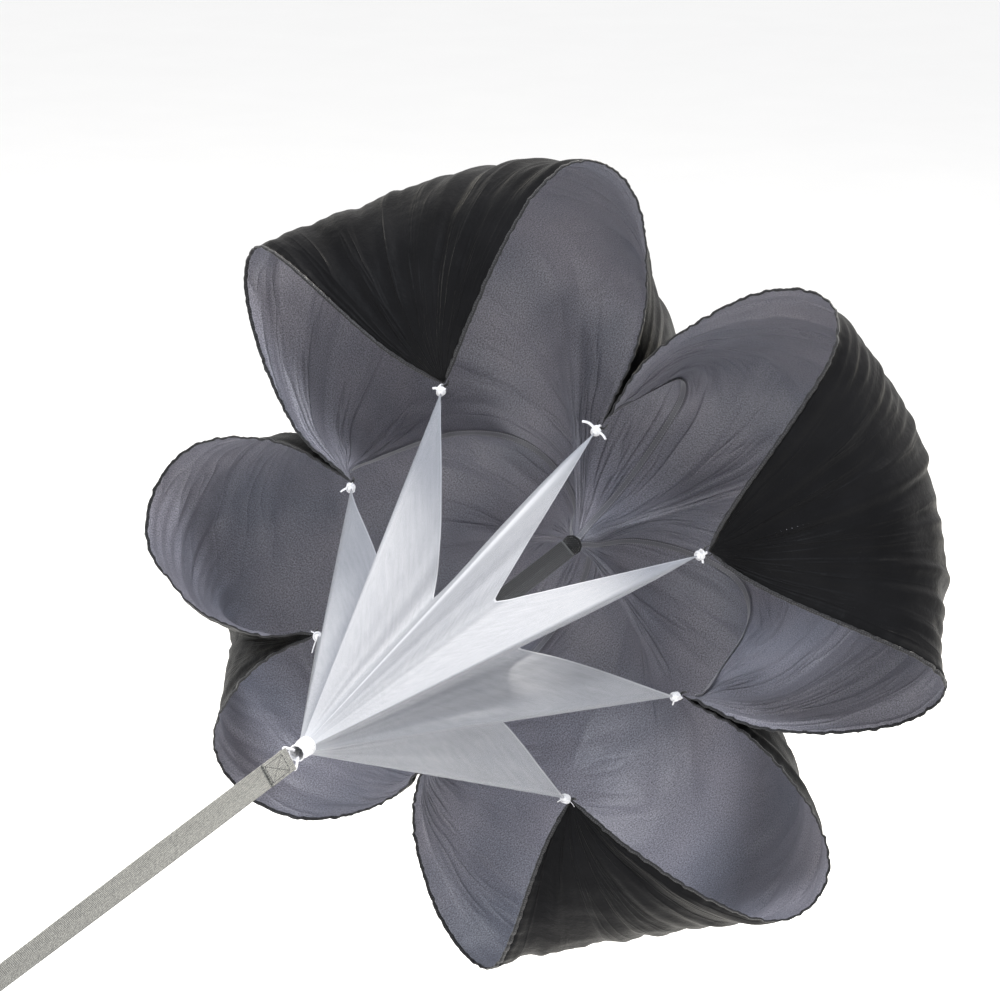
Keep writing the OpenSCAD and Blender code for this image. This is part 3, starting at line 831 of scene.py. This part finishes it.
def wavering(t, seed, turns):
    """An uneven wave along t, which runs from 0 to 1."""
    rng = np.random.default_rng(seed)
    made = np.zeros_like(t)
    for share in (1.0, 1.37, 0.71, 2.13):
        phase, size = rng.uniform(0, math.tau), rng.uniform(0.5, 1.0)
        bendy = 0.6 * np.sin(math.tau * t * 2.3 + phase * 3)
        made += size * np.sin(math.tau * turns * share * t + phase + bendy)
    return made / 2.4


def folds(a, b, p):
    """How far the cloth of quarter p stands out, for flat coordinates from the centre."""
    side = CLOTH_SIDE / 2
    ca, cb = side - a, side - b
    gap = np.hypot(ca, cb)
    turn = np.arctan2(cb, ca) / (math.pi / 2)
    fan = band(2.6 * MM * wavering(turn, 10 + p, 5.5), gap, 0.02, 0.16, 0.34, 0.52)
    brim = band(2.4 * MM * wavering(turn, 20 + p, 11), gap, 0.22, 0.29, 0.33, 0.42)
    crest = band(1.2 * MM * wavering(turn, 30 + p, 3), gap, 0.02, 0.08, 0.12, 0.22)
    inner = rays(a, b, (0.0, 0.0), (12, 24, 39, 45, 58, 71, 80), 7 * MM, 4.0 * MM, 0.04, 0.52)
    left = rays(a, b, (0.0, side), (-80, -66, -49, -33, -20, -9), 8 * MM, 4.5 * MM, 0.03, 0.50)
    right = rays(a, b, (side, 0.0), (99, 112, 124, 139, 153, 171), 8 * MM, 4.5 * MM, 0.03, 0.50)
    rng = np.random.default_rng(40 + p)
    loose = np.zeros_like(a)
    for _ in range(16):
        way, phase = rng.uniform(0, math.pi), rng.uniform(0, math.tau)
        length = rng.uniform(0.03, 0.14)
        loose += length * np.sin(math.tau * (a * math.cos(way) + b * math.sin(way))
                                 / length + phase + 2 * np.sin(9 * a + 7 * b + phase))
    loose *= 2.6 * MM
    edge = np.minimum(ca, cb)
    along = np.where(ca < cb, b, a)
    pucker = 1.3 * MM * wavering(along / side, 50 + p, 34) * (1 - smooth(0.0, 0.022, edge))
    seam = smooth(0.0, 0.014, np.minimum(a, b))
    held = smooth(0.0, 0.03, gap)
    wide = fan + brim + crest + inner + left + right + loose
    return wide * seam * held + pucker * seam * held


def shell(outer, inner):
    """Points, faces and which faces are inside, of a closed sheet between two grids."""
    rows, columns = outer.shape[:2]
    count = rows * columns
    inside = grid_faces(rows, columns)
    outside = [tuple(count + v for v in reversed(face)) for face in inside]
    rim = ([i * columns for i in range(rows)]
           + [(rows - 1) * columns + j for j in range(1, columns)]
           + [i * columns + columns - 1 for i in range(rows - 2, -1, -1)]
           + list(range(columns - 2, 0, -1)))
    wall = [(rim[i], rim[i - 1], count + rim[i - 1], count + rim[i]) for i in range(len(rim))]
    points = np.concatenate([inner.reshape(-1, 3), outer.reshape(-1, 3)])
    picks = [0] * len(inside) + [1] * (len(outside) + len(wall))
    return points, inside + outside + wall, picks


def make_canopy():
    """Four sewn quarters. Gives back each quarter's middle surface, in the part's frame."""
    cloth = blown_canopy()
    quarters = []
    for p in range(4):
        grid = finer(finer(quarter(cloth, p)))
        n = len(grid)
        u = np.linspace(0, CLOTH_SIDE / 2, n)
        a, b = np.meshgrid(u, u, indexing="ij")
        grid = grid - folds(a, b, p)[..., None] * inward(grid)
        grid = to_frame(grid)
        normal = inward(grid)
        points, faces, picks = shell(grid - normal * CLOTH_THICK / 2,
                                     grid + normal * CLOTH_THICK / 2)
        flat = np.stack([a, b, np.full_like(a, p * 2.0)], axis=-1).reshape(-1, 3)
        side = CLOTH_SIDE / 2
        pulls = {}
        for key, at in (("from_left", (0, side)), ("from_right", (side, 0)),
                        ("from_middle", (0, 0)), ("from_corner", (side, side))):
            bearing, reach = polar(a, b, at)
            way = np.stack([np.radians(bearing), reach, np.full_like(a, p * 3.1)], axis=-1)
            pulls[key] = np.tile(way.reshape(-1, 3), (2, 1))
        panel = piece(f"canopy_quarter_{p + 1}", points, faces, [INNER, OUTER], pulls=pulls,
                      slot="canopy_cloth", cut=np.concatenate([flat, flat]), picks=picks)
        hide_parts(f"canopy_panel_{p + 1}")
        quarters.append((grid, normal, panel))
    return quarters


def make_hem(number, line, normal):
    """A rolled and puckered hem along one lobe, from its corner tie to its side tie."""
    reach = reach_along(line)
    even = np.linspace(0, reach[-1], 260)
    line = np.stack([np.interp(even, reach, line[:, i]) for i in range(3)], axis=1)
    normal = unit(np.stack([np.interp(even, reach, normal[:, i]) for i in range(3)], axis=1))
    t = even / reach[-1]
    lumps = wavering(t, 60 + number, 46)
    side = np.cross(unit(np.gradient(line, axis=0)), normal)
    line = line + normal * (0.5 * MM * wavering(t, 80 + number, 30))[:, None]
    narrow = 0.35 + 0.65 * smooth(0, 0.03, t) * smooth(1.0, 0.97, t)
    stock = Stock()
    stock.bar(line, side, HEM_WIDTH * (1 + 0.16 * lumps) * narrow,
              2.6 * MM * (1 + 0.28 * lumps) * narrow, 10, 0.8)
    made = stock.made(f"rolled_hem_{number}", HEM, slot="hem_tape")
    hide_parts(f"hem_{number}")
    return made


def make_seam(number, line, normal):
    """A felled seam from the centre to a side tie, along the inside of the cloth."""
    line = line[2:-3] + normal[2:-3] * 0.9 * MM
    stock = Stock()
    side = np.cross(unit(np.gradient(line, axis=0)), normal[2:-3])
    stock.bar(line, side, SEAM_WIDTH, 1.3 * MM, 10, 0.5)
    made = stock.made(f"felled_seam_{number}", SEAM, slot="hem_tape")
    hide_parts(f"seam_tape_{number}")
    return made


quarters = make_canopy()
hems = []
for p, (grid, normal, panel) in enumerate(quarters):
    left = make_hem(2 * p + 1, grid[::-1, -1], normal[::-1, -1])
    right = make_hem(2 * p + 2, grid[-1, ::-1], normal[-1, ::-1])
    facing = unit(normal[0] + quarters[(p + 1) % 4][1][:, 0])
    seam = make_seam(p + 1, grid[0], facing)


# ---- Net ----
def strand(k, t):
    """A line from the gathered end, t 0, to tie k, t 1."""
    tie = TIES[k % 8]
    out = tie * OFF_AXIS
    foot = GATHER + unit(out) * 5.5 * MM
    tip = tie + 14 * MM * unit(GATHER - tie)
    return foot + (tip - foot) * t[..., None]


# Between each two ties: how far the edge dips, where its lowest place is, how deep the
# wind presses the net in there, and how wide and bright the ridge on the first strand is.
GAPS = ((0.44, 0.55, 0.15, 0.10, 0.90), (0.46, 0.32, 0.50, 0.13, 0.92),
        (0.47, 0.27, 0.45, 0.03, 0.50), (0.42, 0.50, 0.30, 0.03, 0.60),
        (0.42, 0.50, 0.30, 0.03, 0.40), (0.42, 0.50, 0.30, 0.03, 0.40),
        (0.41, 0.72, 0.40, 0.03, 0.50), (0.39, 0.78, 0.40, 0.03, 0.60))


def rim_share(w, dip, lowest):
    """Share of the slant at the net's edge: nearly straight runs down to the lowest place."""
    near = np.where(w < lowest, w, 1 - w)
    span = np.where(w < lowest, lowest, 1 - lowest)
    s = near / ((1 - dip) * span + dip * near)
    return 1 - dip * s - 0.07 * s * (1 - s)


def make_net():
    """A white mesh cone with eight points, pleated where it gathers."""
    across, rows = 30, 120
    w = np.linspace(0, 1, across, endpoint=False)
    t = np.linspace(0, 1, rows)
    ww, tt = np.meshgrid(w, t)
    columns, edges = [], []
    for k, (dip, lowest, press, width, shine) in enumerate(GAPS):
        q = tt * rim_share(ww, dip, lowest)
        p = strand(k, q) + (strand(k + 1, q) - strand(k, q)) * ww[..., None]
        out = unit(p * OFF_AXIS)
        chord = np.linalg.norm(strand(k + 1, q) - strand(k, q), axis=-1)
        pleat = 0.016 * wavering(ww, 90 + k, 3.0) * np.sin(math.pi * ww)
        skew = ww + (0.5 - lowest) * np.sin(math.pi * ww) * 0.6
        hollow = -press * np.sin(math.pi * np.clip(skew, 0, 1)) \
            * np.sin(math.pi * np.clip(q, 0, 1)) ** 0.6
        p = p + out * (chord * (pleat + hollow))[..., None]
        columns.append(p)
        following = GAPS[(k + 1) % 8]
        ridge_line = np.maximum(shine * ridge(ww, width * 0.6),
                                following[4] * ridge(ww - 1, following[3] * 0.6))
        gather = 1 - smooth(0.0, 0.24, q)
        rim = smooth(0.982, 0.992, tt)
        edges.append(np.maximum(np.maximum(ridge_line, 0.85 * gather), 0.9 * rim))
    grid = np.concatenate(columns, axis=1)
    edge = np.concatenate(edges, axis=1)
    wide = grid.shape[1]
    girth = np.linspace(0, 1.2, wide, endpoint=False)
    cut = np.stack([np.broadcast_to(girth, edge.shape),
                    np.broadcast_to(t[:, None] * 0.62, edge.shape), edge], axis=-1)
    net = piece("mesh_cone", grid.reshape(-1, 3), grid_faces(rows, wide, True), [NET],
                slot="net", cut=cut.reshape(-1, 3))
    thick = net.modifiers.new("thickness", "SOLIDIFY")
    thick.thickness = 0.5 * MM
    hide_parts("mesh_net")


make_net()


# ---- Ties ----
def tie_axes(k):
    """Out along the strand, round the mouth and away from the tow line, at tie k."""
    ahead = unit(GATHER - TIES[k])
    away = TIES[k] * OFF_AXIS
    away = unit(away - (away @ ahead) * ahead)
    return ahead, np.cross(ahead, away), away


def make_edge_loop(k):
    """A loop of black tape sewn to the hem."""
    ahead, round_, away = tie_axes(k)
    radius, stand = 5.5 * MM, 2 * MM
    line = [TIES[k] + round_ * s * radius + ahead * h
            for s, h in ((1, -3 * MM), (1, -1 * MM), (1, 1 * MM))]
    line = np.array(line)
    bow = arc(TIES[k] + ahead * stand, round_, ahead, radius, 0, 180, 20)
    line = np.concatenate([line, bow, line[::-1] - round_ * 2 * radius])
    stock = Stock()
    stock.bar(line, away, 3.4 * MM, 1.1 * MM, 10, 0.5)
    made = stock.made(f"hem_loop_{k + 1}", BLACK_WEBBING, slot="hem_tape")
    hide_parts(f"edge_loop_{k + 1}")


# Length of the longer tail of each tie's knot.
TAILS = (0.010, 0.021, 0.008, 0.009, 0.014, 0.010, 0.012, 0.010)


def make_tie(k):
    """White tape through the hem's loop, wound round the net's tip, with two tails."""
    ahead, round_, away = tie_axes(k)
    rng = np.random.default_rng(100 + k)
    foot = TIES[k] + ahead * 10.2 * MM
    stock = Stock()
    link = arc(foot, away, -ahead, 5.0 * MM, 0, 180, 18)
    legs = np.array([foot + away * 5.0 * MM + ahead * 5 * MM])
    line = np.concatenate([legs, link, legs - away * 10 * MM])
    stock.bar(line, round_, 2.6 * MM, 1.2 * MM, 8, 0.6)
    turns, radius = 4.5, 4.9 * MM
    a = np.linspace(0, math.tau * turns, 110)
    wrap_start = TIES[k] + ahead * 11.8 * MM
    swell = 1 + 0.10 * np.sin(a * 0.37 + k)
    wind = (wrap_start + ahead * (a / a[-1] * 7.4 * MM)[:, None]
            + (np.cos(a)[:, None] * away + np.sin(a)[:, None] * round_)
            * (radius * swell)[:, None])
    stock.bar(wind, ahead, 2.2 * MM, 1.1 * MM, 8, 0.6)
    heart = wrap_start + ahead * np.linspace(-1.2 * MM, 8.4 * MM, 9)[:, None]
    fat = 8.4 * MM * np.array([0.6, 0.9, 1, 1, 1, 1, 1, 0.9, 0.6])
    stock.bar(heart, away, fat, fat, 14, 1.0)
    for length, bearing in ((TAILS[k], 40), (0.55 * TAILS[k], -70)):
        b = math.radians(bearing + rng.uniform(-15, 15))
        out = math.cos(b) * away + math.sin(b) * round_
        s = np.linspace(0, 1, 10)
        tail = (wrap_start + ahead * 3.5 * MM + out * (3.5 * MM + length * s)[:, None]
                + ahead * (0.35 * length * s ** 2)[:, None]
                + np.array([0, 0, -1]) * (0.25 * length * s ** 2)[:, None])
        stock.bar(tail, ahead + 0.4 * round_, 4.0 * MM * (1 - 0.25 * s), 0.8 * MM, 8, 0.5)
    made = stock.made(f"tie_knot_{k + 1}", WHITE_TAPE, slot="white_tape")
    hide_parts(f"tie_tape_{k + 1}")


for k in range(8):
    make_edge_loop(k)
    make_tie(k)


# ---- Gathered end of the net ----
def make_collar():
    """A sewn sleeve of white tape, drawn in over the gathered net."""
    radius = (COLLAR_HIGH[0] - COLLAR_LOW[0]) / 2
    length = COLLAR_HIGH[1] - COLLAR_LOW[1]
    rows, sides = 26, 72
    s = np.linspace(0, 1, rows)
    a = np.arange(sides) * math.tau / sides
    ss, aa = np.meshgrid(s, a, indexing="ij")
    pleats = 1 + 0.035 * np.sin(11 * aa + 2 * ss) + 0.02 * np.sin(23 * aa)
    waist = 0.90 - 0.10 * np.exp(-((ss - 0.38) / 0.12) ** 2) + 0.06 * ss
    outer = radius * waist * pleats / 1.055
    rings = []
    for scale in (1.0, 0.86):
        r = outer * scale
        rings.append(ring_points(r, COLLAR_LOW[1] + 0.2 * MM + length * ss, aa))
    both = np.concatenate([rings[0], rings[1][::-1]])
    count = len(both)
    faces = grid_faces(count, sides, True)
    faces += ring_faces((count - 1) * sides, 0, sides)
    cut = np.stack([np.tile(aa, (2, 1)) * radius, np.tile(ss, (2, 1)) * length,
                    np.zeros((count, sides))], axis=-1)
    made = piece("gather_sleeve", both.reshape(-1, 3), faces, [WHITE_TAPE],
                 slot="white_tape", cut=cut.reshape(-1, 3))
    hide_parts("net_collar")
    low, high = low_high("collar_binding")
    ring = (high[0] - low[0]) / 2 - 0.9 * MM
    t = np.linspace(0, math.tau, 240, endpoint=False)
    stock = Stock()
    for phase in (0, math.pi):
        lay = 26 * t + phase
        r = ring - 0.1 * MM + 0.42 * MM * np.cos(lay)
        line = ring_points(r, (low[1] + high[1]) / 2 + 0.42 * MM * np.sin(lay), t)
        stock.bar(line, TOW_AXIS, 0.85 * MM, 0.85 * MM, 8, 1.0, closed=True)
    made = stock.made("sleeve_cord", WHITE_TAPE, slot="white_tape")
    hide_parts("collar_binding")


def make_net_loop():
    """A laid cord: a bar through the strap's turn and two legs up into the sleeve."""
    wide, face = turned(np.array(STRAP_TWIST))
    half, foot = STRAP_WIDTH / 2 + 1.9 * MM, 4.2 * MM
    top = low_high("net_loop")[1][1] - LOOP_Y
    corner = 3.0 * MM
    key = [(-foot, top), (-half + 1 * MM, corner + 1 * MM), (-half + corner, 0.0),
           (half - corner, 0.0), (half - 1 * MM, corner + 1 * MM), (foot, top)]
    key = np.array(key)
    for _ in range(3):
        q = key[:-1] * 0.75 + key[1:] * 0.25
        r = key[:-1] * 0.25 + key[1:] * 0.75
        key = np.concatenate([key[:1], np.stack([q, r], axis=1).reshape(-1, 2), key[-1:]])
    reach = reach_along(key)
    even = np.linspace(0, reach[-1], 160)
    w = np.interp(even, reach, key[:, 0])
    y = np.interp(even, reach, key[:, 1])
    line = wide * w[:, None] + TOW_AXIS * (LOOP_Y + y)[:, None]
    ahead = unit(np.gradient(line, axis=0))
    side = np.cross(ahead, face)
    stock = Stock()
    for i in range(3):
        lay = math.tau * (even / (7 * MM) + i / 3)
        strand_line = line + (face * np.cos(lay)[:, None] + side * np.sin(lay)[:, None]) * 0.75 * MM
        stock.bar(strand_line, face, 1.6 * MM, 1.6 * MM, 8, 1.0)
    made = stock.made("net_cord_loop", WHITE_TAPE, slot="white_tape")
    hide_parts("net_loop")


make_collar()
make_net_loop()


# ---- Centre webbing ----
def make_centre_webbing():
    low, high = low_high("centre_webbing")
    y = np.linspace(low[1], high[1], 120)
    t = (y - low[1]) / (high[1] - low[1])
    angle = math.pi / 2 + math.radians(46) * smooth(0.05, 0.95, t)
    wide, face = turned(angle)
    sag = -2.5 * MM * np.sin(math.pi * t)
    line = np.stack([0 * y, y, sag], axis=1)
    stock = Stock()
    stock.bar(line, wide, STRAP_WIDTH * 0.96, 1.7 * MM, 16, 0.35)
    made = stock.made("centre_strap", BLACK_WEBBING, slot="black_webbing")
    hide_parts("centre_webbing")


def make_patches():
    """The tab that the webbing ends in and the patch behind the cloth, both sewn round."""
    low, high = low_high("centre_tab")
    radius = (high[0] - low[0]) / 2
    rows, sides = 14, 56
    s = np.linspace(0, 1, rows)
    for name, node, r0, r1 in (
            ("sewn_tab", "centre_tab", radius * 0.30, radius * 0.98),
            ("back_patch", "centre_patch", 12.6 * MM, 12.9 * MM)):
        start, end = (corner[1] for corner in low_high(node))
        a = np.arange(sides) * math.tau / sides
        ss, aa = np.meshgrid(s, a, indexing="ij")
        flare = r0 + (r1 - r0) * ss ** 1.6
        waves = 1 + 0.03 * np.sin(9 * aa + 1.3) * ss
        soft = 1 - 0.5 * np.exp(-ss * 14) - 0.25 * np.exp(-(1 - ss) * 16)
        r = flare * waves * soft
        y = start + (end - start) * ss
        points = ring_points(r, y, aa).reshape(-1, 3)
        faces = grid_faces(rows, sides, True) + end_caps(0, (rows - 1) * sides, sides)
        cut = np.stack([points[:, 0], points[:, 2], points[:, 1]], axis=1)
        made = piece(name, points, faces, [BLACK_WEBBING], slot="black_webbing", cut=cut)
        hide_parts(node)
    stock = Stock()
    low, high = low_high("tab_stitching")
    ring = (high[0] - low[0]) / 2 - 0.4 * MM
    for i in range(22):
        a = math.tau * (i + np.linspace(0.14, 0.86, 5)) / 22
        dip = 0.3 * MM * np.sin(np.linspace(0, math.pi, 5))
        line = ring_points(ring, (low[1] + high[1]) / 2 - dip, a)
        stock.bar(line, TOW_AXIS, 0.6 * MM, 0.7 * MM, 6, 1.0)
    made = stock.made("tab_stitches", GREY_THREAD, slot="thread")
    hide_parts("tab_stitching")


make_centre_webbing()
make_patches()


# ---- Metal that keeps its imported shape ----
def dress(node, material):
    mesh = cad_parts[node].data
    mesh.materials.clear()
    mesh.materials.append(material)


for node, material in (("hook_body", HOOK_METAL), ("hook_gate", GATE_METAL),
                       ("gate_pin", PLATED), ("gate_spring", PLATED),
                       ("swivel_eye", GATE_METAL), ("swivel_head", PLATED),
                       ("swivel_washer", PLATED)):
    dress(node, material)


# ---- Floor and light ----
def make_floor():
    f = Finish("studio_floor", Specular_IOR_Level=0.1)
    grain = f.noise(f.place(), 3.0, 3.0)
    material = f.ends(Base_Color=f.tint(grain, (0.90, 0.90, 0.90), (0.93, 0.93, 0.93)),
                      Roughness=grain * 0.1 + 0.8)
    size, drop = 40.0, 1.0
    mesh = bpy.data.meshes.new("floor")
    mesh.from_pydata([(-size, -size, -drop), (size, -size, -drop),
                      (size, size, -drop), (-size, size, -drop)], [], [(0, 1, 2, 3)])
    mesh.materials.append(material)
    floor = put("floor", mesh)


def make_light(name, place, aim, size, watts, colour):
    data = bpy.data.lights.new(name, "AREA")
    data.shape = "DISK"
    data.size = size
    data.energy = watts
    data.color = colour
    stand(put(name, data), place, aim - place)


def make_sky():
    world = bpy.data.worlds.new("studio")
    bpy.context.scene.world = world
    world.use_nodes = True
    background = world.node_tree.nodes["Background"]
    background.inputs["Color"].default_value = (1.0, 1.0, 1.0, 1.0)
    background.inputs["Strength"].default_value = 1.0


make_floor()
make_sky()
aim = Vector(RING)
make_light("sun", aim + Vector((0.9, 2.0, 3.2)), aim, 0.8, 330, (1.0, 0.95, 0.86))
make_light("sky_light", aim + Vector((0.6, -1.6, 3.6)), aim, 1.2, 130, (0.90, 0.94, 1.0))
bpy.context.scene.view_settings.view_transform = "Standard"
